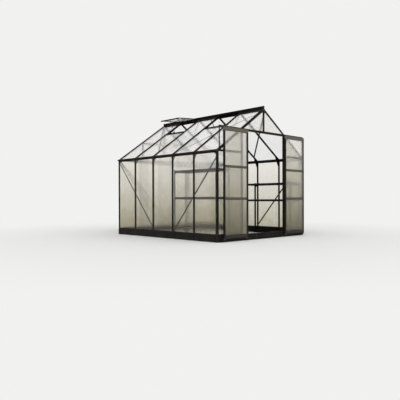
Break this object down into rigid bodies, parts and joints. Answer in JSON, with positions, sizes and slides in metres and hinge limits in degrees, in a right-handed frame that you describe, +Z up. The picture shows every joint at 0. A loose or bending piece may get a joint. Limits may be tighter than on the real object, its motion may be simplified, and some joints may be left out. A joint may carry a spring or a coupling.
{
  "type": "polycarbonate greenhouse",
  "caption": "Black framed gable-roof greenhouse glazed with twin-wall sheets, with a pair of sliding doors in one gable, two open roof vents and shelf units inside.",
  "frame": {"origin": "middle of the building's outer box on the ground, under the base", "axes": "+Z up, +Y along the ridge from the door gable to the rear, +X to the right seen from in front of the doors"},
  "size_m": [2.728, 3.1845, 2.641],
  "materials": {
    "frame_coat": "matt black powder coat",
    "base_coat": "matt black coated steel",
    "fittings": "black coated steel strip",
    "shelf_coat": "satin black coated steel",
    "glazing": "clear twin-wall, fluted",
    "runner_plastic": "black moulded nylon",
    "end_plastic": "black moulded plastic"
  },
  "bodies": {
    "greenhouse": {"base_front": "base_coat", "base_left": "base_coat", "base_rear": "base_coat", "base_right": "base_coat", "corner_posts": "frame_coat", "door_guide_rail": "frame_coat", "door_posts": "frame_coat", "door_track": "frame_coat", "eave_gussets": "fittings", "eave_left": "frame_coat", "eave_right": "frame_coat", "end_plates": "end_plastic", "front_gable_bars": "frame_coat", "front_gable_sheets": "glazing", "front_rakes": "frame_coat", "gable_braces": "fittings", "rafters_left": "frame_coat", "rafters_right": "frame_coat", "rear_gable_bars": "frame_coat", "rear_gable_sheets": "glazing", "rear_rakes": "frame_coat", "ridge_bar": "frame_coat", "roof_braces": "fittings", "roof_sheets_left": "glazing", "roof_sheets_right": "glazing", "shelf_left": "shelf_coat", "shelf_right": "shelf_coat", "sill_bars": "frame_coat", "track_struts": "frame_coat", "vent_frames": "frame_coat", "vent_sheets": "glazing", "vent_sills": "frame_coat", "vent_stays": "fittings", "wall_bars_left": "frame_coat", "wall_bars_right": "frame_coat", "wall_braces": "fittings", "wall_sheets_left": "glazing", "wall_sheets_right": "glazing"},
    "door_left": {"door_left_frame": "frame_coat", "door_left_runners": "runner_plastic", "door_left_sheets": "glazing"},
    "door_right": {"door_right_frame": "frame_coat", "door_right_runners": "runner_plastic", "door_right_sheets": "glazing"}
  },
  "joints": [
    {"name": "door_left_slide", "type": "slide", "parent": "greenhouse", "child": "door_left", "axis": [1, 0, 0], "range_m": [-0.083, 0.541]},
    {"name": "door_right_slide", "type": "slide", "parent": "greenhouse", "child": "door_right", "axis": [-1, 0, 0], "range_m": [0, 0.624]}
  ]
}
